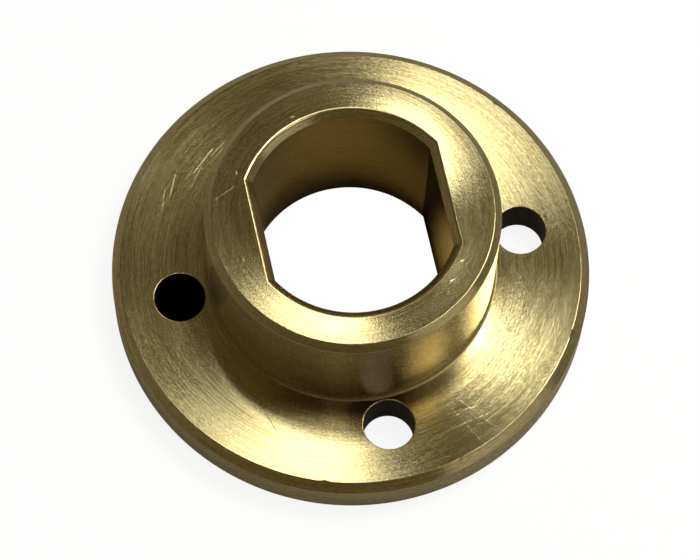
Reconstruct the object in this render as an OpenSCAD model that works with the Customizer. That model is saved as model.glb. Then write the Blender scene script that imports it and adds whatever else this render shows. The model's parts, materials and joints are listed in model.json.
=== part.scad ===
// Flanged guide bushing in brass: a round flange with a raised hub, bored
// through with a double-D hole and drilled with a ring of bolt holes.
// It is turned in one setting, then the flats and the bolt holes are milled.
// Millimetres. +Z runs along the bore from the flange to the hub, the underside
// of the flange lies on z = 0, and +X is square to the two flats of the bore.

/* [Flange] */
// Outside diameter of the flange
flange_d = 50; // [46:0.5:70]
// Thickness of the flange
flange_t = 5; // [3:0.1:10]
// 45 degree chamfer round the upper edge of the flange
flange_chamfer = 0.9; // [0.3:0.1:1.5]

/* [Hub] */
// Outside diameter of the hub
hub_d = 30; // [25:0.5:36]
// Height from the underside of the flange to the top of the hub
total_h = 19; // [13:0.5:40]
// 45 degree chamfer round the top of the hub
hub_chamfer = 0.7; // [0.2:0.1:1]
// Radius that the turning tool leaves where the hub meets the flange
root_r = 0.3; // [0.1:0.05:0.35]

/* [Double-D bore] */
// Diameter of the two round walls of the bore
bore_d = 21.3; // [16:0.1:26]
// Depth of each flat, measured in from the round wall
flat_depth = 1.5; // [0.5:0.1:3]
// 45 degree chamfer round the mouth of the bore, on the hub's top face
bore_chamfer = 0.7; // [0.2:0.1:1]

/* [Bolt holes] */
// Diameter of each bolt hole, a fine clearance hole for an M5 screw
bolt_hole_d = 5.3; // [3.4:0.1:6.6]
// Number of bolt holes; the first lies on the +X axis
bolt_count = 4; // [2:1:8]
// Land between the hub's wall and the edge of a bolt hole; it holds both the
// root radius and the edge break
bolt_land = 0.55; // [0.55:0.05:1.5]
// Edge break at both ends of each bolt hole
bolt_break = 0.2; // [0.1:0.05:0.25]

/* [Underside] */
// Edge break round the flange's lower edge
lower_break = 0.3; // [0.1:0.1:0.6]
// 45 degree chamfer round the bore where it leaves the underside
bore_exit_chamfer = 0.4; // [0.1:0.1:1]

/* [Hidden] */

$fn = 144;
// How far a cutting body runs past the face that it leaves by
overrun = 1;

flange_r = flange_d / 2;
hub_r = hub_d / 2;
bore_r = bore_d / 2;
// Distance from the bore's axis to each flat
flat_x = bore_r - flat_depth;
bolt_r = bolt_hole_d / 2;
// The bolt circle keeps its land outside the hub
bolt_circle_r = hub_r + bolt_land + bolt_r;

brass = "#B59C58";

// Half section of the turned blank: flange, root radius, hub, and their edge
// chamfers, with the axis on x = 0. The root radius is a true arc: a corner
// square left standing at the foot of the hub, with a circle cut out of it.
module blank_section() {
    difference() {
        polygon([
            [0, 0],
            [flange_r - lower_break, 0],
            [flange_r, lower_break],
            [flange_r, flange_t - flange_chamfer],
            [flange_r - flange_chamfer, flange_t],
            [hub_r + root_r, flange_t],
            [hub_r + root_r, flange_t + root_r],
            [hub_r, flange_t + root_r],
            [hub_r, total_h - hub_chamfer],
            [hub_r - hub_chamfer, total_h],
            [0, total_h]
        ]);
        translate([hub_r + root_r, flange_t + root_r]) circle(r = root_r);
    }
}

// The bore's outline: a circle with two parallel flats across X.
module double_d() {
    intersection() {
        circle(r = bore_r);
        square([2 * flat_x, 2 * (bore_r + overrun)], center = true);
    }
}

// A 45 degree countersink in the form of the double-D. It opens upwards and
// reaches the outline of the bore at z = -depth, so the round walls and the
// flats get a chamfer of one width, and each corner is a mitre: a cone for the
// round walls, cut by a prism of sloping sides for the flats.
module double_d_countersink(depth) {
    low = depth + overrun;
    high = overrun;
    shrink = low - depth;
    intersection() {
        translate([0, 0, -low])
            cylinder(h = low + high, r1 = bore_r - shrink, r2 = bore_r + depth + high);
        rotate([90, 0, 0])
            linear_extrude(height = 2 * flange_d, center = true)
                polygon([
                    [-(flat_x - shrink), -low],
                    [flat_x - shrink, -low],
                    [flat_x + depth + high, high],
                    [-(flat_x + depth + high), high]
                ]);
    }
}

// Everything that comes out of the bore, chamfers at both mouths included.
module bore_cut() {
    translate([0, 0, -overrun])
        linear_extrude(height = total_h + 2 * overrun) double_d();
    translate([0, 0, total_h]) double_d_countersink(bore_chamfer);
    mirror([0, 0, 1]) double_d_countersink(bore_exit_chamfer);
}

// One edge break at the mouth of a bolt hole, opening upwards from z = 0.
module bolt_mouth() {
    translate([0, 0, -bolt_break - bolt_r / 2])
        cylinder(
            h = bolt_break + bolt_r / 2 + bolt_break,
            r1 = bolt_r / 2,
            r2 = bolt_r + 2 * bolt_break
        );
}

// One bolt hole on the Z axis, through the flange.
module bolt_hole() {
    translate([0, 0, -overrun])
        cylinder(h = flange_t + 2 * overrun, r = bolt_r);
    translate([0, 0, flange_t]) bolt_mouth();
    mirror([0, 0, 1]) bolt_mouth();
}

module flanged_bushing() {
    color(brass)
        difference() {
            rotate_extrude() blank_section();
            bore_cut();
            for (i = [0 : bolt_count - 1])
                rotate([0, 0, i * 360 / bolt_count])
                    translate([bolt_circle_r, 0, 0])
                        bolt_hole();
        }
}

flanged_bushing();
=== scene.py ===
# %% [markdown]
# # A flanged guide bushing in turned brass
# The part is one piece of brass: a round flange, a hub that stands on it, a
# double-D bore through both and four bolt holes round the hub. The CAD model
# holds its sizes. This script gives it a finer skin, the finish that the lathe,
# the drill and the broach leave, and the soft light of a small photo studio.

# %% Load the CAD part as a fixed frame
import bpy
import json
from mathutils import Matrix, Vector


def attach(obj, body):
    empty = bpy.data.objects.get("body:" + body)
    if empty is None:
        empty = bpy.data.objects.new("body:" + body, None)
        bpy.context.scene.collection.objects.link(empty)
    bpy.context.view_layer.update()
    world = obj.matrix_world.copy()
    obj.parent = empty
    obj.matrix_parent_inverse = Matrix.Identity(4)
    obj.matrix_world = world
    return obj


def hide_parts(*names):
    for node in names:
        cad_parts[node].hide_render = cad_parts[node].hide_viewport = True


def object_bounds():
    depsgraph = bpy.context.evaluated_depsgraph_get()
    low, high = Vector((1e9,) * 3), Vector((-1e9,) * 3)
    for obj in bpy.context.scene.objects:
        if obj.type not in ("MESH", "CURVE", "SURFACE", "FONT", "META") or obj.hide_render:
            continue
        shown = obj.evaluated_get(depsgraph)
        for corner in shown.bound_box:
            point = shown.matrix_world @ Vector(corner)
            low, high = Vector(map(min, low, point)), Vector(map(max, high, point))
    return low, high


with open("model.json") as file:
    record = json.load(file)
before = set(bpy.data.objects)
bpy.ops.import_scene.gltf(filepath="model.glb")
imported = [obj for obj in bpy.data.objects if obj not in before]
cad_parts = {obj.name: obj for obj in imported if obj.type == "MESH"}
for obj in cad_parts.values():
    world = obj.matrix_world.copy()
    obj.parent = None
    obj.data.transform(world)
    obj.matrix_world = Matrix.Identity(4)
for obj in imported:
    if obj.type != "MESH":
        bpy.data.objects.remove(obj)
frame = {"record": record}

# %% Keep the box of the CAD part
cad_low, cad_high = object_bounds()
print("CAD box in metres:", tuple(cad_low), tuple(cad_high))

# %% [markdown]
# ## The sizes of the part
# A turned part is known by its section: a few radii and a few heights. The frame
# gives the big ones, through the part's box and through its mounts, which are the
# places where other parts fit it. Chamfers and edge breaks repeat the drawing.

# %% Sizes that the frame gives
MM = 0.001
NODE = "flanged_bushing"
mounts = {mount["name"]: mount for mount in frame["record"]["mounts"]}
bolts = mounts["flange_bolts"]
# The CAD mesh has flat facets, so its box is a hair narrower one way than the other.
flange_r = min(cad_high.x, cad_high.y)
flange_t = bolts["pos_m"][2]
total_h = cad_high.z
hub_r = mounts["hub_spigot"]["dims"]["r_mm"] * MM
bolt_r = bolts["dims"]["hole_r_mm"] * MM
bolt_circle_r = bolts["dims"]["pcd_mm"] * MM / 2
bolt_count = bolts["dims"]["count"]
print("flange radius", flange_r, "hub radius", hub_r, "height", total_h)

# %% Sizes that repeat the drawing
bore_r = 10.65 * MM
flat_x = 9.15 * MM
bore_chamfer = 0.7 * MM
exit_chamfer = 0.4 * MM
hub_chamfer = 0.7 * MM
flange_chamfer = 0.9 * MM
lower_break = 0.3 * MM
bolt_break = 0.2 * MM
root_r = 0.3 * MM
print("bore", 2 * bore_r, "across its flats", 2 * flat_x)

# %% [markdown]
# ## Why a new skin
# The CAD mesh is made of flat facets that meet in knife edges. No real edge is
# that sharp: a turned part is deburred with a file or in a tumbler, and the small
# round that this leaves is what catches the light. A Bevel modifier could add it,
# but on a round part it is simpler to draw the rounds into the section and to
# sweep the section as rings of points. Every ring has as many points as the
# next, so plain quads join them.

# %% Round the corners of a section line
import math

ROUND_STEPS = 4
ROOT_STEPS = 10


def eased(corners, rounds, finishes, cuts=1):
    """A section line with its inner corners rounded: (radius, steps) for each.

    Gives the points, and the finish of the strip between each two of them. The
    first and last corner only show which way the line comes and goes.
    """
    points = []
    strips = []
    for k in range(1, len(corners) - 1):
        (x0, z0), (x1, z1), (x2, z2) = corners[k - 1:k + 2]
        way_in = math.atan2(z1 - z0, x1 - x0)
        way_out = math.atan2(z2 - z1, x2 - x1)
        turn = (way_out - way_in + math.pi) % (2 * math.pi) - math.pi
        radius, steps = rounds[k - 1]
        reach = radius * math.tan(abs(turn) / 2)
        spoke = way_in - math.copysign(math.pi / 2, turn)
        x_middle = x1 - reach * math.cos(way_in) - radius * math.cos(spoke)
        z_middle = z1 - reach * math.sin(way_in) - radius * math.sin(spoke)
        arc = []
        for step in range(steps + 1):
            angle = spoke + turn * step / steps
            arc.append((x_middle + radius * math.cos(angle), z_middle + radius * math.sin(angle)))
        if points:
            (xa, za), (xb, zb) = points[-1], arc[0]
            for cut in range(1, cuts):
                points.append((xa + (xb - xa) * cut / cuts, za + (zb - za) * cut / cuts))
            strips += [finishes[k - 2]] * cuts
        points += arc
        strips += ["root" if turn > 0 else "edge"] * steps
    return points, strips

# %% [markdown]
# ## The double-D outline
# The bore is round with two flats, like two letters D back to back. Grown
# outwards by a step, its round walls and its flats move out by the same step,
# so the corners move a little too: that is why a chamfer round this bore has
# mitred corners. The outline starts on a corner, and each corner is a point of
# its own in every ring, which keeps the mitres crisp.

# %% Points round the double-D
FLAT_STEPS = 180
ARC_STEPS = 360


def double_d(growth):
    """(x, y) points round the bore's outline, grown outwards."""
    radius = bore_r + growth
    corner = math.acos((flat_x + growth) / radius)
    points = []
    for turn in (0, math.pi):
        side = math.cos(turn)
        for step in range(FLAT_STEPS):
            y = radius * math.sin(corner) * (2 * step / FLAT_STEPS - 1)
            points.append((side * (flat_x + growth), side * y))
        for step in range(ARC_STEPS):
            angle = turn + corner + (math.pi - 2 * corner) * step / ARC_STEPS
            points.append((radius * math.cos(angle), radius * math.sin(angle)))
    return points


# The outer rings stand on the same spokes as the mouth of the bore.
spokes = [math.atan2(y, x) for x, y in double_d(bore_chamfer)]
print(len(spokes), "points in each ring")

# %% Rings of points, and quads between them
import bmesh

FINISHES = ["faced", "fine_faced", "turned", "chamfer", "edge", "root", "bored", "broached", "drilled"]
body = bmesh.new()


def circle(radius, angles=spokes, centre=(0, 0)):
    """(x, y) points round a circle."""
    return [(centre[0] + radius * math.cos(a), centre[1] + radius * math.sin(a)) for a in angles]


def ring(outline, z):
    """The outline's points as vertices at one height."""
    return [body.verts.new((x, y, z)) for x, y in outline]


def lofted(rings, strips):
    """Quads between each ring and the next, with the finish of each strip."""
    for lower, upper, finish in zip(rings, rings[1:], strips):
        for i in range(len(lower)):
            face = body.faces.new((lower[i - 1], lower[i], upper[i], upper[i - 1]))
            face.material_index = FINISHES.index(finish)
            face.smooth = True


# %% [markdown]
# ## The turned outside
# Two section lines make the outside: one from the hub's face down to the root of
# the hub, one from the flange's face down to its underside. The corner where hub
# and flange meet gets the round nose of the turning tool, and the others get the
# small round of deburring.

# %% Sweep the hub and the rim
EASE = 0.1 * MM
SMALL = (EASE, ROUND_STEPS)
hub_line, hub_strips = eased(
    [
        (hub_r - 2 * hub_chamfer, total_h),
        (hub_r - hub_chamfer, total_h),
        (hub_r, total_h - hub_chamfer),
        (hub_r, flange_t),
        (hub_r + root_r + EASE, flange_t),
    ],
    [SMALL, SMALL, (root_r, ROOT_STEPS)],
    ["chamfer", "turned"],
)
rim_line, rim_strips = eased(
    [
        (flange_r - 2 * flange_chamfer, flange_t),
        (flange_r - flange_chamfer, flange_t),
        (flange_r, flange_t - flange_chamfer),
        (flange_r, lower_break),
        (flange_r - lower_break, 0),
        (flange_r - 2 * lower_break, 0),
    ],
    [SMALL] * 4,
    ["chamfer", "turned", "chamfer"],
    cuts=4,
)
hub_rings = [ring(circle(radius), z) for radius, z in hub_line]
rim_rings = [ring(circle(radius), z) for radius, z in rim_line]
lofted(hub_rings, hub_strips)
lofted(rim_rings, rim_strips)
print("outside:", len(body.faces), "quads")

# %% Sweep the bore
# The upper edge is rounder than the others, as if worn by what slides in there.
BORE_EASE = 0.45 * MM
bore_line, bore_strips = eased(
    [
        (2 * exit_chamfer, 0),
        (exit_chamfer, 0),
        (0, exit_chamfer),
        (0, total_h - bore_chamfer),
        (bore_chamfer, total_h),
        (2 * bore_chamfer, total_h),
    ],
    [SMALL, SMALL, SMALL, (BORE_EASE, 2 * ROUND_STEPS)],
    ["chamfer", "bored", "chamfer"],
)
bore_rings = [ring(double_d(growth), z) for growth, z in bore_line]
lofted(bore_rings, bore_strips)

# %% Sweep the bolt holes
BOLT_STEPS = 96
MOUTH = (bolt_break / 2, 6)
bolt_line, bolt_strips = eased(
    [
        (bolt_r + 2 * bolt_break, 0),
        (bolt_r, 0),
        (bolt_r, flange_t),
        (bolt_r + 2 * bolt_break, flange_t),
    ],
    [MOUTH] * 2,
    ["drilled"],
)
bolt_angles = [2 * math.pi * step / BOLT_STEPS for step in range(BOLT_STEPS)]
holes = []
for k in range(bolt_count):
    angle = 2 * math.pi * k / bolt_count
    centre = (bolt_circle_r * math.cos(angle), bolt_circle_r * math.sin(angle))
    rings = [ring(circle(radius, bolt_angles, centre), z) for radius, z in bolt_line]
    lofted(rings, bolt_strips)
    holes.append(rings)

# %% Close the flat faces
def flat_face(loops, finish):
    """Fills the flat area between an outer loop, an inner loop and any holes."""
    edges = []
    for loop in loops:
        edges += [body.edges.get((loop[i - 1], loop[i])) for i in range(len(loop))]
    made = bmesh.ops.triangle_fill(body, edges=edges, use_beauty=True)["geom"]
    faces = [item for item in made if isinstance(item, bmesh.types.BMFace)]
    for face in faces:
        face.material_index = FINISHES.index(finish)
    return sum(face.calc_area() for face in faces)


lofted([bore_rings[-1], hub_rings[0]], ["fine_faced"])
top_area = flat_face([hub_rings[-1], rim_rings[0]] + [rings[-1] for rings in holes], "faced")
base_area = flat_face([bore_rings[0], rim_rings[-1]] + [rings[0] for rings in holes], "faced")
print("flange face", top_area * 1e6, "mm2, underside", base_area * 1e6, "mm2")
bmesh.ops.recalc_face_normals(body, faces=body.faces)
print("volume", body.calc_volume() * 1e9, "mm3")
print("open edges", sum(not e.is_manifold for e in body.edges), "faces", len(body.faces))

# %% [markdown]
# ## Nicks in the rim
# A part that has lain in a box with others has small nicks where its edges were
# struck. They could be painted as bump, but a nick changes the outline too, so
# the points near the place of the blow are pushed in, most at its middle.

# %% Press a few nicks into an edge
from mathutils import Vector

HAIR = 0.001 * MM


def nick(rings, angle, z, radius, width, depth):
    """Pushes the points near one place of an edge towards the inside of the metal."""
    middle = Vector((radius * math.cos(angle), radius * math.sin(angle), z))
    inward = Vector((-math.cos(angle), -math.sin(angle), -1)).normalized()
    for points in rings:
        for point in points:
            share = 1 - (point.co - middle).length / width
            if share > 0:
                push = inward * depth * share * share * (3 - 2 * share)
                # A point of the flat face stays in its plane.
                push.z *= point.co.z < z - HAIR
                point.co += push


RIM_NICKS = [  # angle in degrees, reach and depth in mm
    (-108.7, 0.65, 0.16),
    (-152.0, 0.40, 0.07),
    (-75.0, 0.40, 0.04),
    (-31.0, 0.50, 0.09),
    (38.0, 0.55, 0.12),
    (96.0, 0.45, 0.10),
    (171.0, 0.60, 0.12),
]
HUB_NICKS = [(-131.0, 0.30, 0.05), (71.0, 0.50, 0.09), (152.0, 0.40, 0.06)]
for angle, width, depth in RIM_NICKS:
    edge_r = flange_r - flange_chamfer
    nick(rim_rings, math.radians(angle), flange_t, edge_r, width * MM, depth * MM)
for angle, width, depth in HUB_NICKS:
    edge_r = hub_r - hub_chamfer
    nick(hub_rings, math.radians(angle), total_h, edge_r, width * MM, depth * MM)
print(len(RIM_NICKS) + len(HUB_NICKS), "nicks, volume", body.calc_volume() * 1e9, "mm3")

# %% [markdown]
# ## Where finishes meet
# Smooth shading blends the light over neighbouring faces. Where a chamfer meets
# a wall, or a broached flat meets the round bore, a real part shows a crisp
# line, so those edges are marked sharp. All the others stay smooth.

# %% Mark the sharp lines
CORNERS = (0, FLAT_STEPS, FLAT_STEPS + ARC_STEPS, 2 * FLAT_STEPS + ARC_STEPS)
for face in body.faces:
    if face.material_index == FINISHES.index("bored"):
        if abs(abs(face.calc_center_median().x) - flat_x) < EASE / 2:
            face.material_index = FINISHES.index("broached")
for lower, upper in zip(bore_rings, bore_rings[1:]):
    for i in CORNERS:
        body.edges.get((lower[i], upper[i])).smooth = False
FLAT = {FINISHES.index("faced"), FINISHES.index("fine_faced")}
for edge in body.edges:
    meeting = {face.material_index for face in edge.link_faces}
    if len(meeting) > 1 and not meeting & FLAT:
        edge.smooth = False
for face in body.faces:
    if face.material_index in FLAT:
        face.smooth = False
print("sharp edges", sum(not edge.smooth for edge in body.edges))

# %% Make the piece
import bpy

mesh = bpy.data.meshes.new("bushing_body")
body.to_mesh(mesh)
body.free()
bushing = bpy.data.objects.new("bushing_body", mesh)
bpy.context.scene.collection.objects.link(bushing)
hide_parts(NODE)
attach(bushing, "root")
print("triangles", sum(len(polygon.vertices) - 2 for polygon in mesh.polygons))

# %% [markdown]
# ## Turned brass
# Brass is an alloy of copper and zinc. Like every metal it has no colour of its
# own under the light: it mirrors the room, tinted yellow, and looks dark wherever
# the room is dark. The cutting tool leaves fine rings round the axis, which are
# called the lay. They spread a highlight out across the rings and keep it narrow
# along them, so a turned face shows bright fans that point at its middle. The
# Principled shader has this spread as Anisotropic, and a radial Tangent node
# turns it round the axis. Everything else here breaks up that clean highlight.

# %% Colours and nodes
def srgb(code):
    """A hex colour as the linear RGBA that Blender works in."""
    parts = [int(code[k:k + 2], 16) / 255 for k in (1, 3, 5)]
    return [p / 12.92 if p <= 0.04045 else ((p + 0.055) / 1.055) ** 2.4 for p in parts] + [1.0]


def add(tree, kind, inputs, **settings):
    """Adds a node. inputs maps sockets to a value, or to another node's output."""
    made = tree.nodes.new(kind)
    for name, value in settings.items():
        setattr(made, name, value)
    for socket, value in inputs.items():
        if isinstance(value, bpy.types.NodeSocket):
            tree.links.new(value, made.inputs[socket])
        else:
            made.inputs[socket].default_value = value
    return made


def weighted(tree, terms, start=0.0):
    """start, plus the sum of each output times its weight."""
    total = start
    for output, weight in terms:
        step = add(tree, "ShaderNodeMath", {0: output, 1: weight, 2: total}, operation="MULTIPLY_ADD")
        total = step.outputs[0]
    return total


# %% [markdown]
# ## Marks that follow the tool
# Every mark of the tool runs round the axis. A noise that is stretched that way
# has to know where a point is round the axis: the direction of its spoke, its
# distance from the axis and its height. Those are four numbers, so the noise is
# a 4D one. It has no seam, and it serves the flat faces, where the radius
# changes, as well as the walls, where the height does.

# %% Noise that follows the lay
LAY_R = 18 * MM


def around(tree):
    """A point's spoke and radius as one vector, then its radius and its height."""
    place = add(tree, "ShaderNodeTexCoord", {}).outputs["Object"]
    flat = add(tree, "ShaderNodeVectorMath", {0: place, 1: (1, 1, 0)}, operation="MULTIPLY").outputs[0]
    spoke = add(tree, "ShaderNodeVectorMath", {0: flat}, operation="NORMALIZE").outputs[0]
    radius = add(tree, "ShaderNodeVectorMath", {0: flat}, operation="LENGTH").outputs["Value"]
    spoke = add(tree, "ShaderNodeSeparateXYZ", {0: spoke}).outputs
    height = add(tree, "ShaderNodeSeparateXYZ", {0: place}).outputs["Z"]
    vector = add(tree, "ShaderNodeCombineXYZ", {0: spoke[0], 1: spoke[1], 2: radius}).outputs[0]
    return vector, radius, height


def lay_noise(tree, vector, height, across, along, detail):
    """Noise with cells as wide across the lay, and as long along it, as given."""
    stretch = (LAY_R / along, LAY_R / along, 1 / across)
    vector = add(tree, "ShaderNodeVectorMath", {0: vector, 1: stretch}, operation="MULTIPLY").outputs[0]
    height = add(tree, "ShaderNodeMath", {0: height, 1: 1 / across}, operation="MULTIPLY").outputs[0]
    inputs = {"Vector": vector, "W": height, "Scale": 1.0, "Detail": detail}
    return add(tree, "ShaderNodeTexNoise", inputs, noise_dimensions="4D").outputs[0]

# %% [markdown]
# ## Scratches
# A scratch is a short straight groove. Its walls lean, so it flashes where the
# face round it is dark and stays dark where the face flashes. A few are placed
# one by one, as wear is never even. The nodes find how far a point is from the
# scratch's middle line, and a node group holds them, so that each scratch is one
# node with two ends and a width. A wide scratch is deep in step with its width,
# so that all of them have walls that lean alike.

# %% A node group for one scratch
scratch = bpy.data.node_groups.new("scratch", "ShaderNodeTree")
for name in ("Start", "End"):
    scratch.interface.new_socket(name, in_out="INPUT", socket_type="NodeSocketVector")
scratch.interface.new_socket("Width", in_out="INPUT", socket_type="NodeSocketFloat")
scratch.interface.new_socket("Depth", in_out="OUTPUT", socket_type="NodeSocketFloat")
given = add(scratch, "NodeGroupInput", {}).outputs
place = add(scratch, "ShaderNodeTexCoord", {}).outputs["Object"]
start = given["Start"]
run = add(scratch, "ShaderNodeVectorMath", {0: given["End"], 1: start}, operation="SUBTRACT").outputs[0]
reach = add(scratch, "ShaderNodeVectorMath", {0: place, 1: start}, operation="SUBTRACT").outputs[0]
along = add(scratch, "ShaderNodeVectorMath", {0: reach, 1: run}, operation="DOT_PRODUCT").outputs["Value"]
whole = add(scratch, "ShaderNodeVectorMath", {0: run, 1: run}, operation="DOT_PRODUCT").outputs["Value"]
part = add(scratch, "ShaderNodeMath", {0: along, 1: whole}, operation="DIVIDE", use_clamp=True).outputs[0]
foot = add(scratch, "ShaderNodeVectorMath", {0: run, "Scale": part}, operation="SCALE").outputs[0]
off = add(scratch, "ShaderNodeVectorMath", {0: reach, 1: foot}, operation="DISTANCE").outputs["Value"]
profile = add(scratch, "ShaderNodeMapRange", {
    "Value": off,
    "From Min": given["Width"],
    "From Max": 0.0,
}, interpolation_type="SMOOTHSTEP").outputs[0]
depth = add(scratch, "ShaderNodeMath", {0: profile, 1: given["Width"]}, operation="MULTIPLY").outputs[0]
add(scratch, "NodeGroupOutput", {"Depth": depth})


def on_face(radius, angle, z):
    """A point on a flat face, from its radius in mm and its angle in degrees."""
    turn = math.radians(angle)
    return (radius * MM * math.cos(turn), radius * MM * math.sin(turn), z)


FLANGE_SCRATCHES = [  # radius and angle of each end, and half the width in mm
    (18.9, 123, 18.6, 131, 0.10),
    (19.3, 121, 19.2, 128, 0.09),
    (19.6, 126, 19.5, 136, 0.12),
    (20.0, 130, 19.8, 139, 0.08),
    (19.2, 133, 18.9, 141, 0.08),
    (20.3, 149, 21.1, 139, 0.10),
    (20.8, 150, 21.5, 143, 0.08),
    (19.8, -142, 19.9, -138, 0.08),
    (19.9, -138, 19.9, -133, 0.09),
    (18.8, -130, 20.0, -125, 0.10),
    (23.8, -125, 23.7, -119, 0.10),
    (23.7, -119, 24.0, -112, 0.10),
    (17.7, -70, 23.4, -68, 0.07),
    (18.4, -66, 23.0, -63, 0.06),
    (19.0, -75, 20.5, -62, 0.07),
    (20.9, -76, 21.9, -60, 0.06),
    (22.2, 19, 24.0, 16, 0.08),
    (21.0, 24, 22.6, 22, 0.07),
]
HUB_SCRATCHES = [
    (12.2, 20, 13.7, 21, 0.09),
    (13.9, 163, 12.2, 155, 0.09),
    (12.0, 108, 12.1, 109, 0.16),
    (12.5, 148, 12.4, 149, 0.14),
    (12.1, -167, 12.2, -166, 0.14),
    (12.3, -50, 12.5, -48, 0.13),
    (12.2, -38, 12.0, -39, 0.12),
]
print(len(FLANGE_SCRATCHES) + len(HUB_SCRATCHES), "scratches")


def scratched(tree, scratches, z):
    """The largest Depth of all the scratches, at each point of a flat face."""
    total = 0.0
    for radius_a, angle_a, radius_b, angle_b, width in scratches:
        made = add(tree, "ShaderNodeGroup", {}, node_tree=scratch)
        made.inputs["Start"].default_value = on_face(radius_a, angle_a, z)
        made.inputs["End"].default_value = on_face(radius_b, angle_b, z)
        made.inputs["Width"].default_value = width * MM
        total = add(tree, "ShaderNodeMath", {0: made.outputs[0], 1: total}, operation="MAXIMUM").outputs[0]
    return total


# %% [markdown]
# ## The brass itself
# One recipe serves every surface of the part, because it is all one metal, and
# only the last tool differs. A tool leaves rings about 0.05 mm apart, which is
# finer than a picture of the whole part can show, so they are drawn 0.14 mm
# apart. The grain is the smear and pick-up of the tool. On most finishes both are
# a micrometre or two deep, which is enough, since a mirror turns the light by
# twice its own lean.
#
# The metal is worn bright on the ridges and dull with oil in the grooves, so the
# same rings also shift its tint. That keeps the lay in sight in flat light too.
#
# The two faces are shaded as if hollow by up to about 0.06 mm, and that spreads a
# lamp's mirror image into a fan. It is bump only, and the mesh is flat there.
# Their hollow, roughness and anisotropy started from the search that also placed
# the lamps.

# %% Turned brass
WORN_BRASS = "#FFECB2"
DULL_BRASS = "#D2B67A"
SHADE_BROWN = "#2A1D10"
UM = 0.001 * MM
RINGS_ACROSS = 0.14 * MM
RINGS_ALONG = 6 * MM
GRAIN = 0.16 * MM
PATCH = 2.2 * MM
PATCH_ROUGH = 0.3
GRAIN_ROUGH = 0.4
TONE_LOW = 0.36
TONE_HIGH = 0.64
SCRATCH_LEAN = 0.0045
SCRATCH_ROUGH = 2 / MM
QUARTER_TURN = 0.25
FOOT_SHADOW_START = hub_r + 1.2 * MM
FOOT_SHADOW_END = hub_r + 2.9 * MM
# A spoke's y is -1 right at the front. The painted shadow at the hub's foot fades out towards the sides.
SHADOW_FRONT = -1.0
SHADOW_SIDES = -0.6


def foot_shadow_mask(tree, vector, radius, height):
    """1 where shadow is painted on the flange's face at the front of the hub's foot, and 0 away from it."""
    front = add(tree, "ShaderNodeSeparateXYZ", {0: vector}).outputs["Y"]
    limits = {"Value": front, "From Min": SHADOW_SIDES, "From Max": SHADOW_FRONT}
    front = add(tree, "ShaderNodeMapRange", limits, interpolation_type="SMOOTHSTEP").outputs[0]
    limits = {"Value": radius, "From Min": FOOT_SHADOW_END, "From Max": FOOT_SHADOW_START}
    near = add(tree, "ShaderNodeMapRange", limits, interpolation_type="SMOOTHSTEP").outputs[0]
    near = add(tree, "ShaderNodeMath", {0: near, 1: front}, operation="MULTIPLY").outputs[0]
    upper = add(tree, "ShaderNodeMath", {0: height, 1: flange_t / 2}, operation="GREATER_THAN").outputs[0]
    return add(tree, "ShaderNodeMath", {0: near, 1: upper}, operation="MULTIPLY").outputs[0]


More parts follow.
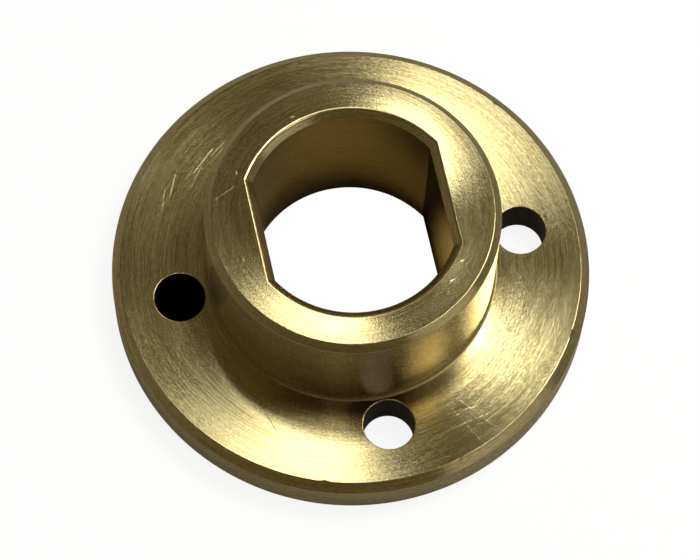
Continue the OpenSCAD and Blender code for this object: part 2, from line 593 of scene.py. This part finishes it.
def turned_brass(
    name, roughness, anisotropic, rings, grain, hollow=(0, 0), scratches=(), z=0, recess_shade=0.0, corner=0.0
):
    """Brass with a finish: the depth of its rings and grain, and a faint hollow.

    hollow is the radius where a face is lowest and how fast it curves up from there.
    recess_shade is how much painted shade darkens all of it, and corner how much painted shadow lies at the
    front of the hub's foot.
    """
    material = bpy.data.materials.new(name)
    material.use_nodes = True
    tree = material.node_tree
    tree.nodes.clear()
    vector, radius, height = around(tree)
    fine = lay_noise(tree, vector, height, RINGS_ACROSS, RINGS_ALONG, 1.0)
    dabs = lay_noise(tree, vector, height, GRAIN, 2 * GRAIN, 1.0)
    patches = lay_noise(tree, vector, height, PATCH, 3 * PATCH, 2.0)
    low_r, curve = hollow
    off = add(tree, "ShaderNodeMath", {0: radius, 1: low_r}, operation="SUBTRACT").outputs[0]
    bowl = add(tree, "ShaderNodeMath", {0: off, 1: off}, operation="MULTIPLY").outputs[0]
    terms = [(fine, rings), (dabs, grain), (bowl, curve / 2)]
    rough_terms = [(patches, PATCH_ROUGH * roughness), (dabs, GRAIN_ROUGH * roughness)]
    tone_terms = [(fine, 0.45), (dabs, 0.4), (patches, 0.15)]
    if scratches:
        worn = scratched(tree, scratches, z)
        worn = add(tree, "ShaderNodeMath", {0: worn, 1: fine}, operation="MULTIPLY").outputs[0]
        terms.append((worn, -SCRATCH_LEAN))
        rough_terms.append((worn, SCRATCH_ROUGH))
    surface = weighted(tree, terms)
    bump = add(tree, "ShaderNodeBump", {"Strength": 1.0, "Distance": 1.0, "Height": surface})
    # Noise is a half on average, so this start keeps the mean roughness as given.
    rough = weighted(tree, rough_terms, (1 - (PATCH_ROUGH + GRAIN_ROUGH) / 2) * roughness)
    tone = weighted(tree, tone_terms)
    limits = {"Value": tone, "From Min": TONE_LOW, "From Max": TONE_HIGH}
    tone = add(tree, "ShaderNodeMapRange", limits).outputs[0]
    tint = add(tree, "ShaderNodeMix", {
        "Factor": tone,
        "A": srgb(DULL_BRASS),
        "B": srgb(WORN_BRASS),
    }, data_type="RGBA").outputs["Result"]
    painted_shades = []
    # Painted shadow: the flange's face is darkened at the front of the hub's foot.
    if corner:
        foot = foot_shadow_mask(tree, vector, radius, height)
        painted_shades.append(add(tree, "ShaderNodeMath", {0: foot, 1: corner}, operation="MULTIPLY").outputs[0])
    # Painted shade darkens the recesses: the inner corner, the bore and the bolt holes.
    if recess_shade:
        painted_shades.append(recess_shade)
    for painted_shade in painted_shades:
        tint = add(tree, "ShaderNodeMix", {
            "Factor": painted_shade,
            "A": tint,
            "B": srgb(SHADE_BROWN),
        }, data_type="RGBA").outputs["Result"]
    lay = add(tree, "ShaderNodeTangent", {}, direction_type="RADIAL", axis="Z")
    shader = add(tree, "ShaderNodeBsdfPrincipled", {
        "Base Color": tint,
        "Metallic": 1.0,
        "Roughness": rough,
        "Anisotropic": anisotropic,
        "Anisotropic Rotation": QUARTER_TURN,
        "Normal": bump.outputs[0],
        "Tangent": lay.outputs[0],
    })
    add(tree, "ShaderNodeOutputMaterial", {"Surface": shader.outputs[0]})
    return material


LOOKS = {
    # Faced with a sharp tool: close to a mirror, so each lamp shows as a bright fan.
    "faced": {
        "roughness": 0.125,
        "anisotropic": 0.88,
        "rings": 1.0 * UM,
        "grain": 1.5 * UM,
        "hollow": (19.7 * MM, 5.8),
        "scratches": FLANGE_SCRATCHES,
        "z": flange_t,
        # corner paints a shadow on the face at the front of the hub's foot.
        "corner": 0.85,
    },
    # The hub's narrow face is smoother, and its fans are softer at their sides.
    "fine_faced": {
        "roughness": 0.105,
        "anisotropic": 0.62,
        "rings": 0.8 * UM,
        "grain": 1.3 * UM,
        "hollow": (13.1 * MM, 9.8),
        "scratches": HUB_SCRATCHES,
        "z": total_h,
    },
    # Turned walls are duller, and show a lamp as an upright band.
    "turned": {"roughness": 0.26, "anisotropic": 0.88, "rings": 1.5 * UM, "grain": 0.35 * UM},
    "chamfer": {"roughness": 0.24, "anisotropic": 0.7, "rings": 1.5 * UM, "grain": 1.0 * UM},
    # Deburred edges have no lay, so they catch light as one thin line.
    "edge": {"roughness": 0.24, "anisotropic": 0.0, "rings": 0.0, "grain": 1.0 * UM},
    # The inner corner is darkened with painted shade.
    "root": {"roughness": 0.5, "anisotropic": 0.5, "rings": 0.0, "grain": 2.0 * UM, "recess_shade": 0.4},
    # Inside, the metal is dull, and painted shade makes it look brown.
    "bored": {"roughness": 0.36, "anisotropic": 0.85, "rings": 2.0 * UM, "grain": 1.0 * UM, "recess_shade": 0.45},
    "broached": {"roughness": 0.3, "anisotropic": 0.0, "rings": 0.0, "grain": 2.0 * UM, "recess_shade": 0.3},
    # The bolt holes' walls are painted nearly black, as shade.
    "drilled": {"roughness": 0.35, "anisotropic": 0.8, "rings": 5.0 * UM, "grain": 1.0 * UM, "recess_shade": 0.97},
}
for finish in FINISHES:
    mesh.materials.append(turned_brass("brass_" + finish, **LOOKS[finish]))

# %% [markdown]
# ## The table
# The part lies on white paper. The camera sees the paper white, through Light
# Path, and not because more light falls on it. Brass mirrors what is round it,
# and a white table right up to its foot would wash out its walls. So the metal
# sees the paper as a grey card, and not as white: that is a choice for this
# picture, and less true to a real table. Under the part the card is painted
# black, as shade. In the bore its middle glows brown for the metal, a painted
# reflection of light that has come down off brass walls. Under the left bolt
# hole lies a black spot, a painted shadow, so that this one hole looks black.
# It is a trick of the stage and no part of the bushing.

# %% White paper
FLOOR_R = 2.0
WHITE = 0.88
METAL_SEES = "#504D48"
BORE_LIGHT = "#C9AC6F"
UNDER_PART_SHADE = "#000000"
CARD = 0.3
SHADOW_SPOT_R = 4 * MM
SHADOW_SPOT_EDGE = 0.8 * SHADOW_SPOT_R
SHADOW_SPOT_PLACE = (-bolt_circle_r, 0.3 * SHADOW_SPOT_R, 0)
BORE_LIGHT_PLACE = (0.2 * bore_r, 0.05 * bore_r, 0)
BORE_LIGHT_START = 0.1 * bore_r
BORE_LIGHT_END = 0.66 * bore_r
TOUCH = 0.05 * MM
floor_mesh = bpy.data.meshes.new("floor")
floor_body = bmesh.new()
bmesh.ops.create_circle(floor_body, cap_ends=True, segments=96, radius=FLOOR_R)
floor_body.to_mesh(floor_mesh)
floor_body.free()
floor = bpy.data.objects.new("floor", floor_mesh)
bpy.context.scene.collection.objects.link(floor)
paper = bpy.data.materials.new("white_paper")
paper.use_nodes = True
tree = paper.node_tree
tree.nodes.clear()
place = add(tree, "ShaderNodeTexCoord", {}).outputs["Object"]


def clear_of(centre, start, end):
    """0 near a place of the table and 1 away from it."""
    away = add(tree, "ShaderNodeVectorMath", {0: place, 1: centre}, operation="DISTANCE")
    limits = {"Value": away.outputs["Value"], "From Min": start, "From Max": end}
    return add(tree, "ShaderNodeMapRange", limits, interpolation_type="SMOOTHSTEP").outputs[0]


lit = clear_of((0, 0, 0), bore_r, hub_r)
# The black spot under the left bolt hole is a painted shadow.
plain = clear_of(SHADOW_SPOT_PLACE, SHADOW_SPOT_EDGE, SHADOW_SPOT_R)
path = add(tree, "ShaderNodeLightPath", {}).outputs
# Where no light falls on the card, the white has to make up for it.
paint = add(tree, "ShaderNodeMapRange", {"Value": lit, "To Min": 1.0, "To Max": WHITE}).outputs[0]
shown = weighted(tree, [(path["Is Camera Ray"], 1.0), (path["Is Transmission Ray"], 1.0)])
shown = add(tree, "ShaderNodeMath", {0: shown, 1: paint}, operation="MULTIPLY").outputs[0]
shown = add(tree, "ShaderNodeMath", {0: shown, 1: plain}, operation="MULTIPLY").outputs[0]
wall_side = clear_of(BORE_LIGHT_PLACE, BORE_LIGHT_START, BORE_LIGHT_END)
# Painted reflection and shade: the bore's middle glows brown, and the rest under the part is black.
bore_glow_and_shade = add(tree, "ShaderNodeMix", {
    "Factor": wall_side,
    "A": srgb(BORE_LIGHT),
    "B": srgb(UNDER_PART_SHADE),
}, data_type="RGBA").outputs["Result"]
mirrored = add(tree, "ShaderNodeMix", {
    "Factor": lit,
    "A": bore_glow_and_shade,
    "B": srgb(METAL_SEES),
}, data_type="RGBA").outputs["Result"]
card = add(tree, "ShaderNodeMath", {0: lit, 1: plain}, operation="MULTIPLY").outputs[0]
card = add(tree, "ShaderNodeMath", {0: card, 1: CARD}, operation="MULTIPLY").outputs[0]
matt = add(tree, "ShaderNodeBsdfDiffuse", {"Color": card})
white = add(tree, "ShaderNodeEmission", {"Strength": shown})
glossy = add(tree, "ShaderNodeMath", {0: path["Is Glossy Ray"], 1: plain}, operation="MULTIPLY").outputs[0]
glow = add(tree, "ShaderNodeEmission", {"Color": mirrored, "Strength": glossy})
both = add(tree, "ShaderNodeAddShader", {0: white.outputs[0], 1: glow.outputs[0]})
both = add(tree, "ShaderNodeAddShader", {0: matt.outputs[0], 1: both.outputs[0]})
# From below the paper is clear, so that the underside can be looked at. It is
# clear too for light that leaves the underside, which lies right on it.
below = add(tree, "ShaderNodeNewGeometry", {}).outputs["Backfacing"]
touching = add(tree, "ShaderNodeMath", {
    0: path["Ray Length"],
    1: TOUCH,
}, operation="LESS_THAN").outputs[0]
below = add(tree, "ShaderNodeMath", {0: below, 1: touching}, operation="MAXIMUM").outputs[0]
clear = add(tree, "ShaderNodeBsdfTransparent", {})
sheet = add(tree, "ShaderNodeMixShader", {0: below, 1: both.outputs[0], 2: clear.outputs[0]})
add(tree, "ShaderNodeOutputMaterial", {"Surface": sheet.outputs[0]})
floor_mesh.materials.append(paper)

# %% [markdown]
# ## The room
# What isn't lamp or table is a dim room: brown near the table, like wood, and
# grey-green overhead. The brass takes its dark tones from it. Of the white that
# the camera sees behind the part it gets a fiftieth, which is too little to see.

# %% A dim room
FRONT = "#4D3C18"
SIDES = "#5E594A"
OVERHEAD = "#3B3820"
METAL_SHARE = 0.02
FRONT_FADES = (-0.7, -0.2)
OVERHEAD_STARTS = (0.2, 0.7)
world = bpy.data.worlds.new("room")
bpy.context.scene.world = world
world.use_nodes = True
tree = world.node_tree
tree.nodes.clear()
path = add(tree, "ShaderNodeLightPath", {}).outputs
seen = weighted(tree, [
    (path["Is Camera Ray"], 1.0),
    (path["Is Transmission Ray"], 1.0),
    (path["Is Glossy Ray"], METAL_SHARE),
])
way = add(tree, "ShaderNodeTexCoord", {}).outputs["Generated"]
way = add(tree, "ShaderNodeSeparateXYZ", {0: way}).outputs
limits = {"Value": way["Y"], "From Min": FRONT_FADES[0], "From Max": FRONT_FADES[1]}
behind = add(tree, "ShaderNodeMapRange", limits).outputs[0]
limits = {"Value": way["Z"], "From Min": OVERHEAD_STARTS[0], "From Max": OVERHEAD_STARTS[1]}
rise = add(tree, "ShaderNodeMapRange", limits).outputs[0]
low = add(tree, "ShaderNodeMix", {
    "Factor": behind,
    "A": srgb(FRONT),
    "B": srgb(SIDES),
}, data_type="RGBA").outputs["Result"]
tone = add(tree, "ShaderNodeMix", {
    "Factor": rise,
    "A": low,
    "B": srgb(OVERHEAD),
}, data_type="RGBA").outputs["Result"]
dim = add(tree, "ShaderNodeBackground", {"Color": tone})
white = add(tree, "ShaderNodeBackground", {"Color": (1, 1, 1, 1)})
mixed = add(tree, "ShaderNodeMixShader", {0: seen, 1: dim.outputs[0], 2: white.outputs[0]})
add(tree, "ShaderNodeOutputWorld", {"Surface": mixed.outputs[0]})

# %% [markdown]
# ## The camera
# The camera looks down steeply, from a little left of the front, with a long
# lens from about a third of a metre, which is how close a part this small is
# usually held to the lens. It is rolled by two degrees, as hand-held ones are.
# Its place, turn and lens come from a least-squares fit of a pinhole camera.

# %% Place the camera
from mathutils import Quaternion

AZIMUTH = math.radians(-14.55)
ELEVATION = math.radians(68.16)
ROLL = math.radians(2.35)
DISTANCE = 329.8 * MM
AIM = Vector((-0.953 * MM, -3.539 * MM, total_h / 2))
LENS_MM = 165.07
SENSOR_MM = 36
NEAREST = 10 * MM


def toward(azimuth, elevation):
    """Unit vector away from the part: azimuth 0 is the front, a quarter turn its right."""
    return Vector((
        math.sin(azimuth) * math.cos(elevation),
        -math.cos(azimuth) * math.cos(elevation),
        math.sin(elevation),
    ))


def facing(way, roll):
    """The turn that makes a camera or a lamp look back along a direction."""
    return (-way).to_track_quat("-Z", "Y") @ Quaternion((0, 0, 1), roll)


camera = bpy.data.objects.new("camera", bpy.data.cameras.new("camera"))
bpy.context.scene.collection.objects.link(camera)
bpy.context.scene.camera = camera
camera.data.lens = LENS_MM
camera.data.sensor_width = SENSOR_MM
camera.data.clip_start = NEAREST
camera.rotation_mode = "QUATERNION"
camera.rotation_quaternion = facing(toward(AZIMUTH, ELEVATION), ROLL)
camera.location = AIM + toward(AZIMUTH, ELEVATION) * DISTANCE
print("camera at", tuple(camera.location))

# %% [markdown]
# ## The lamps
# Polished faces are mirrors for lamps, so each bright fan on the part needs one
# softbox. An area lamp's power is spread over its area, so its watts are worked
# out from the brightness that it shows: at 1 it would look just white.
#
# The places and sizes of the first four come from a least-squares search by
# another program, rounded and for one of them averaged. Their brightness started
# there too and was then changed. Only the last lamp was set without the search.

# %% Softboxes
LAMP_TINT = "#F4FAF8"
SOFTBOXES = {  # azimuth, elevation and roll in degrees, distance, width and height in mm, brightness
    "back": (154, 57, 7, 1219, 216, 330, 3.73),
    "top": (-175.5, 85.4, 70, 366, 196, 27, 3.05),
    "right": (112.5, 65.6, -21, 510, 110, 189, 10.40),
    "front": (41.6, 51.1, 14, 639, 173, 225, 1.81),
    "low": (42, 15, 0, 500, 380, 130, 0.4),
}
for name, (azimuth, elevation, roll, distance, width, height, bright) in SOFTBOXES.items():
    lamp = bpy.data.objects.new(name, bpy.data.lights.new(name, "AREA"))
    bpy.context.scene.collection.objects.link(lamp)
    lamp.data.shape = "RECTANGLE"
    lamp.data.size = width * MM
    lamp.data.size_y = height * MM
    lamp.data.energy = math.pi * bright * lamp.data.size * lamp.data.size_y
    lamp.data.color = srgb(LAMP_TINT)[:3]
    way = toward(math.radians(azimuth), math.radians(elevation))
    lamp.location = way * distance * MM
    lamp.rotation_mode = "QUATERNION"
    lamp.rotation_quaternion = facing(way, math.radians(roll))
    print(name, round(lamp.data.energy, 3), "watts")
bpy.context.scene.view_settings.view_transform = "Standard"

# %% Import json
import json
